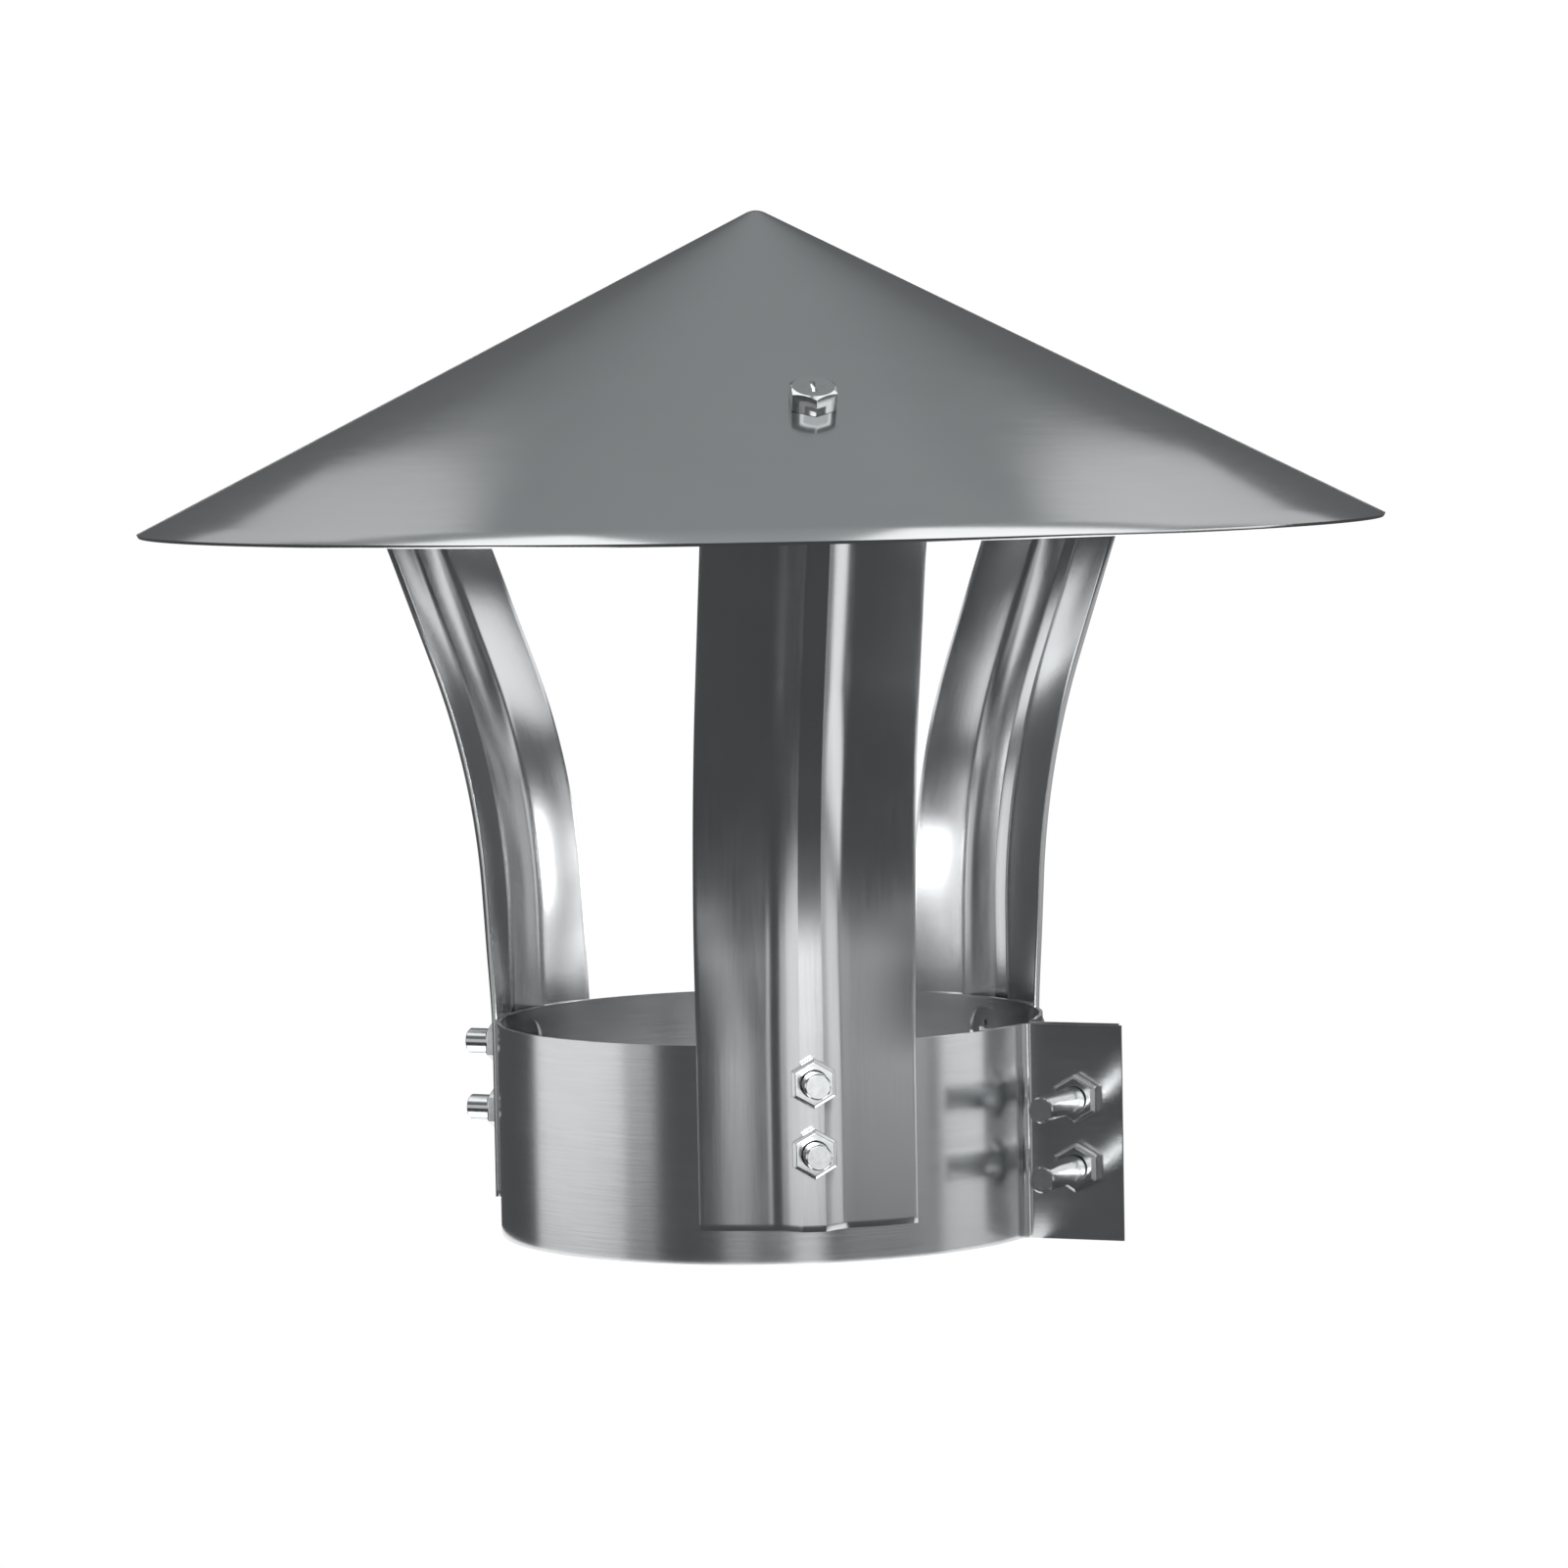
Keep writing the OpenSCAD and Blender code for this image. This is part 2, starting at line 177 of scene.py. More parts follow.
def smooth_sides(piece, degrees=30, flats=False):
    """Shades gentle bends smooth and keeps sharp edges sharp, and flats between bevels flat."""
    deselect()
    piece.select_set(True)
    bpy.context.view_layer.objects.active = piece
    bpy.ops.object.shade_smooth_by_angle(angle=radians(degrees))
    if flats:
        use_modifier(piece, "WEIGHTED_NORMAL", keep_sharp=True)


def fit(piece, node, body, material):
    """The piece takes the place of its solid, moves with its body and gets its finish."""
    piece.data.materials.clear()
    piece.data.materials.append(material)
    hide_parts(node)
    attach(piece, body)


def colour(code):
    """A colour written as sRGB hex, as the linear values that a shader takes."""
    shares = [int(code[i:i + 2], 16) / 255 for i in (0, 2, 4)]
    return [s / 12.92 if s <= 0.04045 else ((s + 0.055) / 1.055) ** 2.4 for s in shares] + [1]


def add_node(tree, kind, settings, links={}):
    """Adds a node, sets its sockets or properties by name, and links other nodes' outputs to it."""
    node = tree.nodes.new(kind)
    for name, value in settings.items():
        if isinstance(name, int) or name in node.inputs:
            node.inputs[name].default_value = value
        else:
            setattr(node, name, value)
    for name, source in links.items():
        tree.links.new(source, node.inputs[name])
    return node


# Rolled stainless steel sheet, 2B finish: a dense satin surface that blurs what it mirrors.
# The rolls leave fine lines along the strip, drawn here as coarse as the render can show: streaks
# 17 mm long and about 1 mm wide, over clouds of 22 mm where the sheet is a little duller.
def rolled_stainless(name, coordinates, streak_scale, roughness):
    material = bpy.data.materials.new(name)
    material.use_nodes = True
    tree = material.node_tree
    shader = tree.nodes["Principled BSDF"]
    shader.inputs["Base Color"].default_value = colour("D2D3D4")
    shader.inputs["Metallic"].default_value = 1
    where = add_node(tree, "ShaderNodeTexCoord", {}).outputs[coordinates]
    stretch = add_node(tree, "ShaderNodeMapping", {"Scale": streak_scale}, {"Vector": where})
    streaks = add_node(
        tree, "ShaderNodeTexNoise",
        {"Scale": 1, "Detail": 3, "Roughness": 0.6}, {"Vector": stretch.outputs["Vector"]}
    )
    clouds = add_node(
        tree, "ShaderNodeTexNoise", {"Scale": 45, "Detail": 4}, {"Vector": where}
    )
    mixed = add_node(
        tree, "ShaderNodeMath", {"operation": "ADD"},
        {0: streaks.outputs["Fac"], 1: clouds.outputs["Fac"]}
    )
    spread = add_node(
        tree, "ShaderNodeMapRange",
        {"From Min": 0.6, "From Max": 1.4, "To Min": roughness[0], "To Max": roughness[1]},
        {"Value": mixed.outputs["Value"]}
    )
    tree.links.new(spread.outputs["Result"], shader.inputs["Roughness"])
    bump = add_node(
        tree, "ShaderNodeBump", {"Strength": 0.12, "Distance": 0.00005},
        {"Height": streaks.outputs["Fac"]}
    )
    tree.links.new(bump.outputs["Normal"], shader.inputs["Normal"])
    return material


rolled_sheet = rolled_stainless("rolled_stainless_collar", "Object", (60, 60, 1600), (0.17, 0.24))

deselect()
ear_length = ear_tip_x - ear_bend_x
bpy.ops.mesh.primitive_plane_add(
    size=MM, location=Vector(((ear_tip_x + ear_bend_x) / 2, -ear_middle_y, collar_h / 2)) * MM,
    rotation=(pi / 2, 0, 0)
)
bpy.context.object.scale = (ear_length, collar_h, 1)
collar = open_piece("collar_band_sheet")
pick("EDGE", lambda p: p.x < ear_bend_x + near)
bpy.ops.mesh.spin(
    steps=ear_bend_steps, angle=-ear_bend_turn, axis=(0, 0, 1),
    center=Vector((ear_bend_x, -ear_bend_y, 0)) * MM
)
bpy.ops.mesh.spin(
    steps=collar_steps, angle=pi + 2 * ear_bend_turn, axis=(0, 0, 1), center=(0, 0, 0)
)
bpy.ops.mesh.spin(
    steps=ear_bend_steps, angle=-ear_bend_turn, axis=(0, 0, 1),
    center=Vector((ear_bend_x, ear_bend_y, 0)) * MM
)
bpy.ops.mesh.extrude_region_move(
    TRANSFORM_OT_translate={"value": ((rear_ear_tip_x - ear_bend_x) * MM, 0, 0)}
)
bpy.ops.mesh.select_all(action="SELECT")
bpy.ops.mesh.remove_doubles(threshold=0.001 * MM)
bpy.ops.mesh.normals_make_consistent(inside=False)
bpy.ops.object.mode_set(mode="OBJECT")
use_modifier(collar, "SOLIDIFY", thickness=collar_sheet * MM, offset=0, use_even_offset=True)
for angle in leg_angles.values():
    for height in leg_screw_heights:
        out_of_collar = turn(angle, "Z") @ place(screw_face_x, 0, height) @ turn(90, "Y")
        swell = turned_bar(
            "swell", dimple_mouth_r + dimple_wall + screw_edge,
            [(screw_edge + dimple_depth, hole_r + dimple_wall)]
        )
        swell.data.transform(out_of_collar)
        combine(collar, swell, "UNION")
        hollow = turned_bar(
            "hollow", dimple_mouth_r,
            [
                (hollow_lead + screw_edge, dimple_mouth_r), (dimple_depth, hole_r),
                (dimple_depth, hole_r)
            ]
        )
        hollow.data.transform(out_of_collar @ place(0, 0, -hollow_lead))
        combine(collar, hollow, "DIFFERENCE")
for height in clamp_bolt_heights:
    punch_place = place(clamp_bolt_x, ear_punch_length / 2, height) @ turn(90, "X")
    punch_hole(collar, punch_place, ear_punch_length)
round_edges(collar, 0.1, 40)
smooth_sides(collar)
fit(collar, "collar_band", "cap", rolled_sheet)


# Legs: three straps of 1.2 mm stainless sheet with a rib pressed down the middle to stiffen them.
# Each hugs the collar, sweeps out under the roof and bends over into a tab that lies on the cone.
leg_sheet = 1.2
lap_gap = 0.2
leg_half_w = 25.75
leg_face_r = collar_inside_r + collar_sheet + lap_gap + leg_sheet
leg_foot = 8
sweep_start_z = 70
sweep_r = 165
leg_lean = radians(22)
hug_end_gap = 5
wing_r = 95
flatten_length = 35
roof_match_length = 28
crest_half_w = 2.5
flank_w = 7.5
rib_h = 4.35
rib_end_gap = 14
tab_bend_r = 5
tab_length = 24
tab_hole_in = 12
rib_punch_length = 8
tab_punch_depth = 5
tab_punch_length = 6
roof_rim_r = 146
roof_rise = 73.5
roof_rim_z = 166.5
roof_sheet = 0.8
roof_apex_z = roof_rim_z + roof_rise
roof_fall = roof_rise / roof_rim_r
roof_slope = radians(26.7214)
tab_drop = (roof_sheet + lap_gap) / cos(roof_slope)

sweep_end_r = leg_face_r + sweep_r * (1 - cos(leg_lean))
sweep_end_z = sweep_start_z + sweep_r * sin(leg_lean)
lean_length = (roof_apex_z - tab_drop - sweep_end_z - sweep_end_r * roof_fall) / (
    cos(leg_lean) + sin(leg_lean) * roof_fall
)
corner_r = sweep_end_r + lean_length * sin(leg_lean)
corner_z = sweep_end_z + lean_length * cos(leg_lean)
tab_turn = leg_lean + pi / 2 - roof_slope
corner_cut = tab_bend_r * tan(tab_turn / 2)
bend_centre_r = corner_r - corner_cut * sin(leg_lean) - tab_bend_r * cos(leg_lean)
bend_centre_z = corner_z - corner_cut * cos(leg_lean) + tab_bend_r * sin(leg_lean)
upright_end = sweep_start_z - leg_foot
sweep_stop = upright_end + sweep_r * leg_lean
bend_start = sweep_stop + lean_length - corner_cut
bend_stop = bend_start + tab_bend_r * tab_turn
leg_length = bend_stop + tab_length - corner_cut
hug_stop = collar_h - leg_foot - hug_end_gap


def leg_line(along):
    """Distance from the flue axis, height and lean of the strap's outer face, up its middle."""
    if along <= upright_end:
        return leg_face_r, leg_foot + along, 0
    if along <= sweep_stop:
        lean = (along - upright_end) / sweep_r
        return leg_face_r + sweep_r * (1 - cos(lean)), sweep_start_z + sweep_r * sin(lean), lean
    if along <= bend_start:
        far = along - sweep_stop
        return sweep_end_r + far * sin(leg_lean), sweep_end_z + far * cos(leg_lean), leg_lean
    lean = leg_lean - (min(along, bend_stop) - bend_start) / tab_bend_r
    far = max(along - bend_stop, 0)
    return (
        bend_centre_r + tab_bend_r * cos(lean) + far * sin(lean),
        bend_centre_z - tab_bend_r * sin(lean) + far * cos(lean),
        lean
    )


def eased(share):
    """A share from 0 to 1 that starts and ends gently."""
    share = min(max(share, 0), 1)
    return share * share * (3 - 2 * share)


def cross_bend(along):
    """How strongly the strap curves across: like the collar, then flatter, then like the roof."""
    free = eased((along - hug_stop) / flatten_length)
    under_roof = eased((along - bend_start + roof_match_length) / roof_match_length)
    bend = 1 / leg_face_r + (1 / wing_r - 1 / leg_face_r) * free
    return bend + (sin(roof_slope) / leg_line(along)[0] - bend) * under_roof


def bent_place(point):
    """Where a point of the flat, ribbed strap goes when the leg is formed."""
    radius, height, lean = leg_line(point.y)
    bend = cross_bend(point.y)
    out = point.z * cos(point.x * bend) - (1 - cos(point.x * bend)) / bend
    side = (1 / bend + point.z) * sin(point.x * bend)
    return Vector((radius + out * cos(lean), side, height - out * sin(lean)))


deselect()
bpy.ops.mesh.primitive_plane_add(size=MM, location=Vector((0, hug_stop / 2, 0)) * MM)
bpy.context.object.scale = (2 * crest_half_w, hug_stop, 1)
leg = open_piece("leg_strap")
for side in (-1, 1):
    pick("EDGE", lambda p: p.x * side > crest_half_w - near)
    for width in (flank_w, leg_half_w - crest_half_w - flank_w):
        bpy.ops.mesh.extrude_region_move(
            TRANSFORM_OT_translate={"value": (side * width * MM, 0, 0)}
        )
# Each stretch is where it starts and stops up the strap and how many cuts divide it.
stretches = [
    (0, hug_stop, 22), (hug_stop, bend_start, 74), (bend_start, bend_stop, 17),
    (bend_stop, leg_length, 15)
]
for start, stop, _ in stretches[1:]:
    pick("EDGE", lambda p: p.y > start - near)
    bpy.ops.mesh.extrude_region_move(TRANSFORM_OT_translate={"value": (0, (stop - start) * MM, 0)})
# Each strip is its left and right edge across the strap and how many cuts divide it.
flank_edge = crest_half_w + flank_w
strips = [
    (-leg_half_w, -flank_edge, 12), (-flank_edge, -crest_half_w, 13),
    (-crest_half_w, crest_half_w, 3)
]
strips += [(-right, -left, cuts) for left, right, cuts in strips[:2]]


def divide(axis, low, high, cuts):
    """Divides the edges that run along an axis and lie between two places on it."""
    bpy.ops.mesh.select_mode(type="EDGE")
    bpy.ops.mesh.select_all(action="DESELECT")
    mesh = bmesh.from_edit_mesh(bpy.context.object.data)
    for edge in mesh.edges:
        first, last = sorted(getattr(corner.co, axis) / MM for corner in edge.verts)
        edge.select_set(last - first > near and first > low - near and last < high + near)
    bmesh.update_edit_mesh(bpy.context.object.data)
    bpy.ops.mesh.subdivide(number_cuts=cuts)


for left, right, cuts in strips:
    divide("x", left, right, cuts)
for start, stop, cuts in stretches:
    divide("y", start, stop, cuts)
bpy.ops.mesh.select_all(action="SELECT")
bpy.ops.mesh.normals_make_consistent(inside=False)
bpy.ops.mesh.extrude_region_move(TRANSFORM_OT_translate={"value": (0, 0, -leg_sheet * MM)})
bpy.ops.mesh.select_all(action="SELECT")
bpy.ops.mesh.normals_make_consistent(inside=False)
rib_stop = bend_start - rib_end_gap
pick("VERT", lambda p: abs(p.x) < crest_half_w + near and p.y < rib_stop)
bpy.ops.transform.translate(
    value=(0, 0, rib_h * MM), use_proportional_edit=True, proportional_edit_falloff="SHARP",
    proportional_size=flank_w * MM
)
bpy.ops.object.mode_set(mode="OBJECT")
flat_map = leg.data.uv_layers.active or leg.data.uv_layers.new(name="UVMap")
for corner in leg.data.loops:
    flat_map.data[corner.index].uv = leg.data.vertices[corner.vertex_index].co.xy
for vertex in leg.data.vertices:
    vertex.co = bent_place(vertex.co / MM) * MM
roof_bolt_r = corner_r - tab_hole_in * cos(roof_slope)
roof_bolt_z = roof_apex_z - roof_bolt_r * roof_fall
roof_place = place(roof_bolt_r, 0, roof_bolt_z) @ Matrix.Rotation(roof_slope, 4, "Y")
for height in leg_screw_heights:
    punch_hole(leg, place(leg_face_r, 0, height) @ turn(90, "Y"), rib_punch_length)
punch_hole(leg, roof_place @ place(0, 0, -tab_punch_depth), tab_punch_length)
round_edges(leg, 0.12, 50)
smooth_sides(leg, 35)
strap_steel = rolled_stainless("rolled_stainless_strap", "UV", (1500, 60, 1), (0.17, 0.24))


def copy_piece(model, name, matrix):
    """A copy of a piece with a mesh of its own, moved by a matrix."""
    piece = model.copy()
    piece.data = model.data.copy()
    piece.name = piece.data.name = name
    piece.data.transform(matrix)
    bpy.context.scene.collection.objects.link(piece)
    return piece


for side, angle in leg_angles.items():
    strap = copy_piece(leg, f"leg_{side}_strap", turn(angle, "Z"))
    fit(strap, f"leg_{side}", "cap", strap_steel)
bpy.data.objects.remove(leg)


# Leg screws: countersunk M6 machine screws with a cross recess, turned from stainless bar.
# Their flat heads lie inside the collar's dimples, so that the flue pipe can slide past them.
screw_length = 16
shank_r = 3
screw_head_r = 5.65
tip_bevel = 0.3
recess_length = 5
recess_width = 1
recess_depth = 1.8


# Stainless fasteners: cold-formed and tumbled bright, so smoother and paler than the rolled sheet.
# The tumbling leaves a faint dappling of about 1 mm, which is as fine as the render can show.
fastener_steel = bpy.data.materials.new("tumbled_stainless_fasteners")
fastener_steel.use_nodes = True
fastener_tree = fastener_steel.node_tree
fastener_shader = fastener_tree.nodes["Principled BSDF"]
fastener_shader.inputs["Base Color"].default_value = colour("D4D6D7")
fastener_shader.inputs["Metallic"].default_value = 1
fastener_place = add_node(fastener_tree, "ShaderNodeTexCoord", {}).outputs["Object"]
tumbling = add_node(
    fastener_tree, "ShaderNodeTexNoise", {"Scale": 900, "Detail": 3}, {"Vector": fastener_place}
)
fastener_spread = add_node(
    fastener_tree, "ShaderNodeMapRange", {"To Min": 0.1, "To Max": 0.22},
    {"Value": tumbling.outputs["Fac"]}
)
fastener_tree.links.new(
    fastener_spread.outputs["Result"], fastener_shader.inputs["Roughness"]
)
fastener_bump = add_node(
    fastener_tree, "ShaderNodeBump", {"Strength": 0.1, "Distance": 0.00005},
    {"Height": tumbling.outputs["Fac"]}
)
fastener_tree.links.new(fastener_bump.outputs["Normal"], fastener_shader.inputs["Normal"])


def fit_fastener(piece, node, body="cap"):
    """The piece takes the place of its solid, in the fasteners' finish."""
    fit(piece, node, body, fastener_steel)


screw = turned_bar(
    "screw", screw_head_r,
    [
        (screw_edge, screw_head_r), (screw_head_r - shank_r, shank_r),
        (screw_length - screw_edge - screw_head_r + shank_r - tip_bevel, shank_r),
        (tip_bevel, shank_r - tip_bevel)
    ]
)


def cut_cross(piece, height):
    """Cuts a cross recess into a head whose flat top lies at this height, with its shank above."""
    for degrees in (0, 90):
        deselect()
        bpy.ops.mesh.primitive_cube_add(size=MM)
        blade = bpy.context.object
        blade.data.transform(
            place(0, 0, height) @ turn(degrees, "Z")
            @ Matrix.Diagonal((recess_length, recess_width, 2 * recess_depth, 1))
        )
        combine(piece, blade, "DIFFERENCE")


cut_cross(screw, 0)
round_edges(screw, 0.08, 30)
smooth_sides(screw, flats=True)
for side, angle in leg_angles.items():
    for level, height in zip(("upper", "lower"), leg_screw_heights):
        where = turn(angle, "Z") @ place(screw_face_x, 0, height) @ turn(90, "Y")
        name = f"leg_{side}_screw_{level}"
        fit_fastener(copy_piece(screw, name + "_csk", where), name)
bpy.data.objects.remove(screw)


# Nuts: plain M6 stainless hexagons, 10 mm across the flats, with bevelled faces.
# Two hold each leg on its rib, two close the clamp, and one sits under each of the leg's tabs.
hex_flats = 10
hex_corner_r = hex_flats / sqrt(3)
hex_bevel = 0.7
nut_h = 3.2
seat_gap = 0.05
bore_r = shank_r + 0.05
bore_flare = 0.4
bore_lead = 1


def hexagon(name, height, bevelled):
    """A hexagonal block standing on the ground plane, bevelled round the faces asked for."""
    deselect()
    bpy.ops.mesh.primitive_cylinder_add(
        vertices=6, radius=hex_corner_r * MM, depth=height * MM, location=(0, 0, height / 2 * MM)
    )
    piece = open_piece(name)
    for level in bevelled:
        pick("EDGE", lambda p: abs(p.z - level) < near)
        bpy.ops.mesh.bevel(offset=hex_bevel * MM, segments=1, affect="EDGES")
    bpy.ops.object.mode_set(mode="OBJECT")
    return piece


nut = hexagon("nut", nut_h, (0, nut_h))
bore = turned_bar(
    "bore", bore_r + bore_flare,
    [
        (bore_lead + bore_flare, bore_r), (nut_h - 2 * bore_flare, bore_r),
        (bore_lead + bore_flare, bore_r + bore_flare)
    ]
)
bore.data.transform(place(0, 0, -bore_lead))
combine(nut, bore, "DIFFERENCE")
round_edges(nut, 0.12, 25)
smooth_sides(nut, 40, flats=True)
for side, angle in leg_angles.items():
    for level, height in zip(("upper", "lower"), leg_screw_heights):
        where = turn(angle, "Z") @ place(leg_face_r + rib_h + seat_gap, 0, height)
        name = f"leg_{side}_nut_{level}"
        placed = copy_piece(nut, name + "_hex", where @ turn(90, "Y") @ turn(30, "Z"))
        fit_fastener(placed, name)
    tab_sag = hex_corner_r ** 2 * sin(roof_slope) / roof_bolt_r / 2
    under = roof_sheet + lap_gap + leg_sheet + tab_sag + seat_gap
    placed = copy_piece(
        nut, f"roof_nut_{side}_hex",
        turn(angle, "Z") @ roof_place @ turn(180, "X") @ place(0, 0, under)
    )
    fit_fastener(placed, f"roof_nut_{side}")
ear_face_y = ear_gap / 2 + collar_sheet
for level, height in zip(("upper", "lower"), clamp_bolt_heights):
    through_ears = place(clamp_bolt_x, ear_face_y, height) @ turn(90, "X")
    placed = copy_piece(
        nut, f"clamp_nut_{level}_hex", through_ears @ place(0, 0, 2 * ear_face_y + seat_gap)
    )
    fit_fastener(placed, f"clamp_nut_{level}", f"{level}_clamp_nut")
bpy.data.objects.remove(nut)


# Bolts: M6 stainless bolts, forged, with a cross recess in the head. The clamp's two long bolts and
# the front roof bolt have hexagon heads whose corners are turned off, the other two low domes.
head_h = 4.6
head_top_r = 4.75
corner_slope = radians(30)
corner_drop = (hex_corner_r - head_top_r) * tan(corner_slope)
dome_r = 6
dome_h = 2.2
dome_edge = 0.6
dome_steps = 12
dome_point_r = 0.01
clamp_bolt_length = 30
roof_bolt_length = 12


def finish_bolt(piece, top):
    """Cuts the recess into the head's top and rounds the bolt's edges."""
    cut_cross(piece, -top)
    round_edges(piece, 0.1, 28)
    smooth_sides(piece, 40, flats=True)
    return piece


def hex_bolt(name, length):
    """A bolt standing tip up, with the underside of its head on the ground plane."""
    piece = turned_bar(
        name, shank_r, [(length + head_h / 2 - tip_bevel, shank_r), (tip_bevel, shank_r - tip_bevel)]
    )
    piece.data.transform(place(0, 0, -head_h / 2))
    head = hexagon("head", head_h, ())
    head.data.transform(turn(180, "X") @ turn(30, "Z"))
    cone = turned_bar(
        "cone", head_top_r, [(corner_drop, hex_corner_r), (head_h, hex_corner_r + 1)], corners=128
    )
    cone.data.transform(place(0, 0, -head_h))
    combine(head, cone, "INTERSECT")
    combine(piece, head, "UNION")
    return finish_bolt(piece, head_h)


def dome_bolt(name, length):
    """A bolt with a low round head, standing like the hexagon bolt."""
    crown = dome_h - dome_edge
    ball_r = (dome_r ** 2 + crown ** 2) / (2 * crown)
    half_turn = asin(dome_r / ball_r)
    turns = [half_turn * step / dome_steps for step in range(1, dome_steps + 1)]
    heights = [ball_r * (1 - cos(angle)) for angle in [0] + turns]
    profile = [
        (upper - lower, ball_r * sin(angle))
        for lower, upper, angle in zip(heights, heights[1:], turns)
    ]
    profile += [(dome_edge, dome_r), (0, shank_r), (length - tip_bevel, shank_r)]
    profile.append((tip_bevel, shank_r - tip_bevel))
    piece = turned_bar(name, dome_point_r, profile)
    piece.data.transform(place(0, 0, -dome_h))
    return finish_bolt(piece, dome_h)


clamp_bolt = hex_bolt("clamp_bolt", clamp_bolt_length)
for level, height in zip(("upper", "lower"), clamp_bolt_heights):
    through_ears = place(clamp_bolt_x, ear_face_y, height) @ turn(90, "X")
    placed = copy_piece(
        clamp_bolt, f"clamp_bolt_{level}_hex", through_ears @ place(0, 0, -seat_gap)
    )
    fit_fastener(placed, f"clamp_bolt_{level}", f"{level}_clamp_bolt")
bpy.data.objects.remove(clamp_bolt)

roof_bolts = {
    "front": hex_bolt("hex_roof_bolt", roof_bolt_length),
    "left": dome_bolt("dome_roof_bolt", roof_bolt_length)
}
roof_bolts["rear"] = roof_bolts["left"]
for side, angle in leg_angles.items():
    placed = copy_piece(
        roof_bolts[side], f"roof_bolt_{side}_headed",
        turn(angle, "Z") @ roof_place @ place(0, 0, seat_gap) @ turn(180, "X")
    )
    fit_fastener(placed, f"roof_bolt_{side}")
bpy.data.objects.remove(roof_bolts["front"])
bpy.data.objects.remove(roof_bolts["left"])


# Roof: one disc of 0.8 mm stainless sheet, spun over a former into a cone with a rounded tip.
# Its rim is trimmed on the lathe and left plain.
roof_steps = 256
roof_cuts = 23
roof_punch_length = 4
tip_steps = 5
tip_r = 5
tip_centre_z = roof_apex_z - tip_r / cos(roof_slope)
tip_edge_r = tip_r * sin(roof_slope)
tip_edge_z = tip_centre_z + tip_r * cos(roof_slope)
deselect()
bpy.ops.mesh.primitive_cone_add(
    vertices=roof_steps, radius1=roof_rim_r * MM, radius2=tip_edge_r * MM,
    depth=(tip_edge_z - roof_rim_z) * MM, end_fill_type="NOTHING",
    location=(0, 0, (tip_edge_z + roof_rim_z) / 2 * MM)
)
roof = open_piece("roof_cone_sheet")
divide("z", roof_rim_z, tip_edge_z, roof_cuts)
pick("EDGE", lambda p: p.z > tip_edge_z - 0.001)
radius = tip_edge_r
height = tip_edge_z
for step in range(tip_steps - 1, 0, -1):
    lean = roof_slope * step / tip_steps
    rise = tip_centre_z + tip_r * cos(lean) - height
    bpy.ops.mesh.extrude_region_move(TRANSFORM_OT_translate={"value": (0, 0, rise * MM)})
    height += rise
    share = tip_r * sin(lean) / radius
    radius *= share
    bpy.ops.transform.resize(value=(share, share, share), center_override=(0, 0, height * MM))
bpy.ops.mesh.extrude_region_move(
    TRANSFORM_OT_translate={"value": (0, 0, (tip_centre_z + tip_r - height) * MM)}
)
bpy.ops.mesh.merge(type="CENTER")
bpy.ops.mesh.select_all(action="SELECT")
bpy.ops.mesh.normals_make_consistent(inside=False)
bpy.ops.object.mode_set(mode="OBJECT")
use_modifier(roof, "SOLIDIFY", thickness=roof_sheet * MM, offset=-1, use_even_offset=True)
for angle in leg_angles.values():
    punch_place = turn(angle, "Z") @ roof_place @ place(0, 0, -roof_punch_length / 2)
    punch_hole(roof, punch_place, roof_punch_length)
round_edges(roof, 0.1, 40)
smooth_sides(roof)
spun_sheet = rolled_stainless("spun_stainless_roof", "Object", (60, 60, 900), (0.13, 0.18))
fit(roof, "roof_cone", "cap", spun_sheet)


# Studio: the cap stands on a small white turntable in a dim room, with a white backdrop behind it.
# Soft boxes stand all round, above and below, and two small ones at the back light the rim.
camera_bearing = -67.5
backdrop_rise = -4
backdrop_spread = 9
floor_level = 0.08
wall_level = 0.25
ceiling_level = 0.2
board_r = 68
board_drop = 0.2
board_glow_level = 0.8
lamp_aim = Vector((0, 0, 100)) * MM

bpy.context.scene.view_settings.view_transform = "Standard"
deselect()
bpy.ops.mesh.primitive_circle_add(
    vertices=128, radius=board_r * MM, fill_type="NGON", location=(0, 0, -board_drop * MM)
)
board = bpy.context.object
board.name = "white_turntable"
board_white = bpy.data.materials.new("white_lacquered_board")
board_white.use_nodes = True
board_tree = board_white.node_tree
board_shader = board_tree.nodes["Principled BSDF"]
board_shader.inputs["Base Color"].default_value = colour("E8E8E8")
board_shader.inputs["Roughness"].default_value = 0.6
board_shader.inputs["Emission Color"].default_value = (1, 1, 1, 1)


def seen_by_eye(tree):
    """One for rays that come straight from the camera or by way of metal or glass, else nought."""
    ray = add_node(tree, "ShaderNodeLightPath", {})
    seen = add_node(
        tree, "ShaderNodeMath", {"operation": "ADD"},
        {0: ray.outputs["Is Camera Ray"], 1: ray.outputs["Is Glossy Ray"]}
    )
    return add_node(
        tree, "ShaderNodeMath", {"operation": "ADD", "use_clamp": True},
        {0: seen.outputs[0], 1: ray.outputs["Is Transmission Ray"]}
    ).outputs[0]


board_glow = add_node(
    board_tree, "ShaderNodeMath", {"operation": "MULTIPLY", 1: board_glow_level},
    {0: seen_by_eye(board_tree)}
)
board_tree.links.new(board_glow.outputs[0], board_shader.inputs["Emission Strength"])
board.data.materials.append(board_white)

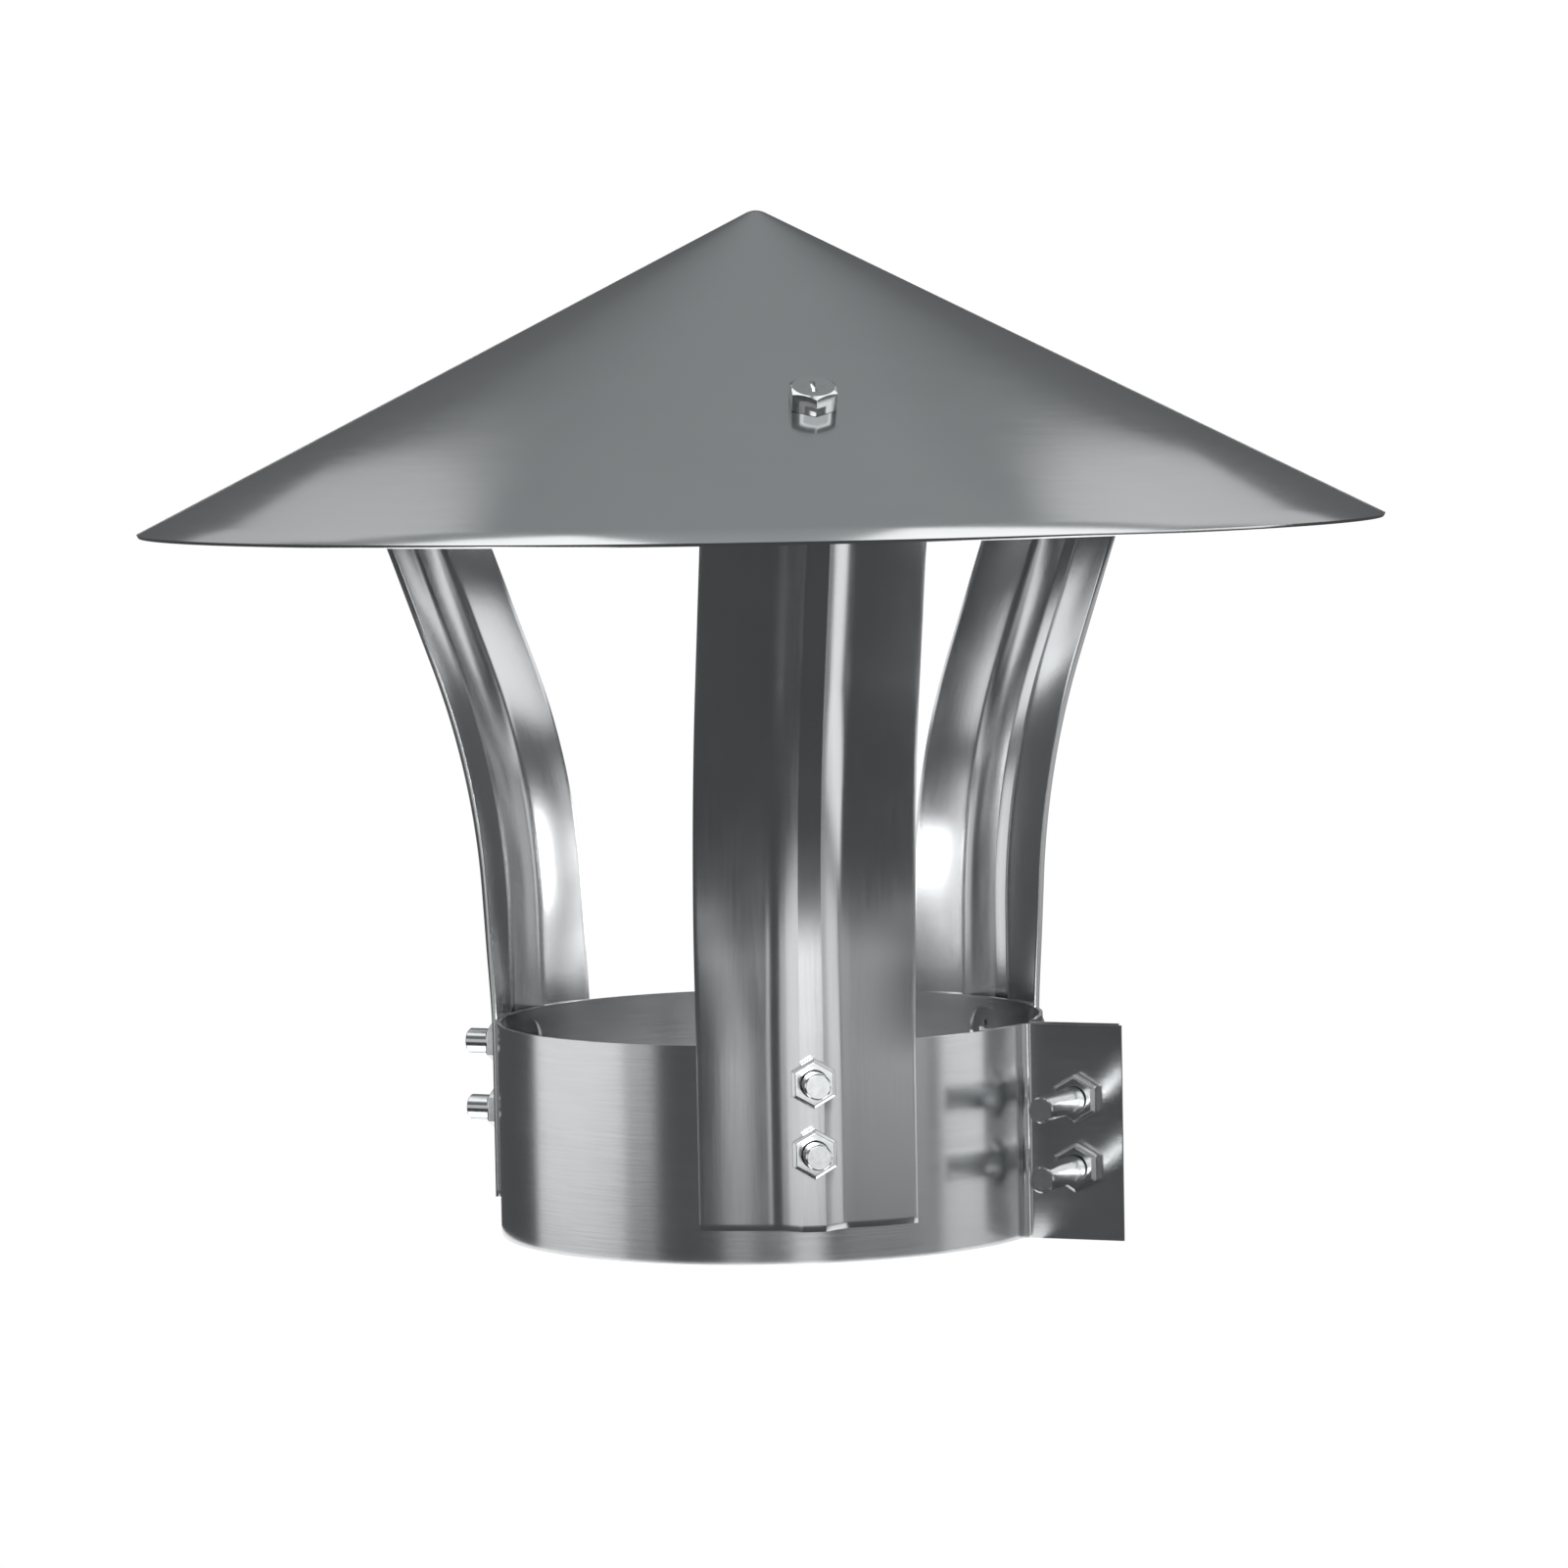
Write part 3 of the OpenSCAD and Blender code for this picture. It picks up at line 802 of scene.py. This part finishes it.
# The room is dim at the floor and paler towards its ceiling, so the cone mirrors a soft gradient.
world = bpy.data.worlds.new("studio")
bpy.context.scene.world = world
world.use_nodes = True
room = world.node_tree
room_shader = room.nodes["Background"]
room_way = add_node(room, "ShaderNodeTexCoord", {}).outputs["Generated"]
room_parts = add_node(room, "ShaderNodeSeparateXYZ", {}, {"Vector": room_way})
room_walls = add_node(
    room, "ShaderNodeMapRange",
    {"From Min": -0.2, "From Max": 1, "To Min": floor_level, "To Max": wall_level},
    {"Value": room_parts.outputs["Z"]}
)
room_ceiling = add_node(
    room, "ShaderNodeMapRange",
    {"From Min": 0.45, "From Max": 1, "To Min": 0, "To Max": ceiling_level},
    {"Value": room_parts.outputs["Z"]}
)
room_height = add_node(
    room, "ShaderNodeMath", {"operation": "ADD"},
    {0: room_walls.outputs["Result"], 1: room_ceiling.outputs["Result"]}
)


def way_out(side, rise):
    """Which way a thing stands from the cap: side is its angle from the camera's side."""
    heading = radians(camera_bearing + side)
    level_way = Vector((cos(heading), sin(heading), 0))
    return level_way * cos(radians(rise)) + Vector((0, 0, sin(radians(rise))))


# The backdrop is white for the camera all round, and for metal where it hangs behind the cap.
backdrop_side = add_node(
    room, "ShaderNodeVectorMath", {"operation": "DOT_PRODUCT", 1: way_out(180, backdrop_rise)},
    {0: room_way}
)
backdrop = add_node(
    room, "ShaderNodeMath", {"operation": "GREATER_THAN", 1: cos(radians(backdrop_spread))},
    {0: backdrop_side.outputs["Value"]}
)
backdrop_mirrored = add_node(
    room, "ShaderNodeMath", {"operation": "MULTIPLY"},
    {0: backdrop.outputs[0], 1: seen_by_eye(room)}
)
room_ray = add_node(room, "ShaderNodeLightPath", {})
backdrop_shown = add_node(
    room, "ShaderNodeMath", {"operation": "MAXIMUM"},
    {0: backdrop_mirrored.outputs[0], 1: room_ray.outputs["Is Camera Ray"]}
)
room_level = add_node(
    room, "ShaderNodeMix", {"data_type": "FLOAT"},
    {0: backdrop_shown.outputs[0], 2: room_height.outputs[0]}
)
room_level.inputs[3].default_value = 1
room.links.new(room_level.outputs[0], room_shader.inputs["Strength"])
room_tint = add_node(
    room, "ShaderNodeMix", {"data_type": "RGBA", 6: colour("F0F5F7"), 7: (1, 1, 1, 1)},
    {0: backdrop_shown.outputs[0]}
)
room.links.new(room_tint.outputs[2], room_shader.inputs["Color"])


def soft_box(name, side, rise, distance, width, height, level, upright=False):
    """A flat lamp aimed at the cap, with its distance and size in metres.

    Level is how white it looks. An upright box stands square to the camera's view instead.
    """
    lamp = bpy.data.lights.new(name, "AREA")
    lamp.shape = "RECTANGLE"
    lamp.size = width
    lamp.size_y = height
    lamp.energy = level * 4 * width * height
    stand = bpy.data.objects.new(name, lamp)
    bpy.context.scene.collection.objects.link(stand)
    way = way_out(side, rise)
    away = way_out(180, 0) if upright else way
    stand.matrix_world = (
        Matrix.Translation(way * distance + lamp_aim)
        @ away.to_track_quat("Z", "Y").to_matrix().to_4x4()
    )
    stand.visible_camera = False


# Each box: its name, side, rise, distance, width, height and level.
soft_boxes = [
    ("left_box", -89, 0, 1.6, 1.6, 0.7, 0.78),
    ("left_fill", -55, 2, 1.6, 0.36, 0.7, 0.48),
    ("front_left_box", -14, -2, 1.6, 0.35, 0.5, 0.5),
    ("front_left_spot", -14, 18, 1.6, 0.4, 0.35, 1.4),
    ("front_box", 14, -2, 1.6, 0.36, 0.5, 1.05),
    ("front_spot", 6, 12, 1.6, 0.34, 0.52, 9),
    ("right_fill", 48, 2, 1.6, 1.2, 0.7, 0.36),
    ("right_box", 89, 1, 1.6, 0.9, 0.7, 0.7),
    ("far_right_box", 116, -2, 1.6, 0.6, 0.5, 0.42),
    ("far_right_spot", 117, 1, 1.6, 0.18, 0.27, 4),
    ("low_right_box", 88, -23, 1.6, 1.3, 0.42, 0.85),
    ("low_back_box", 180, -22, 1.4, 0.8, 0.3, 1.9),
    ("under_left_box", -82, -54, 0.9, 0.7, 0.4, 1.4),
    ("under_right_box", 92, -54, 0.9, 0.7, 0.4, 1.4),
    ("under_back_box", 180, -62, 0.9, 1.4, 0.6, 1),
    ("top_left_box", -78, 62, 1.2, 1.2, 0.9, 0.85),
    ("top_right_box", 85, 62, 1.2, 1.2, 0.9, 0.85)
]
for box in soft_boxes:
    soft_box(*box)
soft_box("left_rim_box", -138.9, 43.5, 0.64, 0.19, 0.36, 0.3, upright=True)
soft_box("right_rim_box", 138.9, 43.5, 0.64, 0.19, 0.36, 0.35, upright=True)
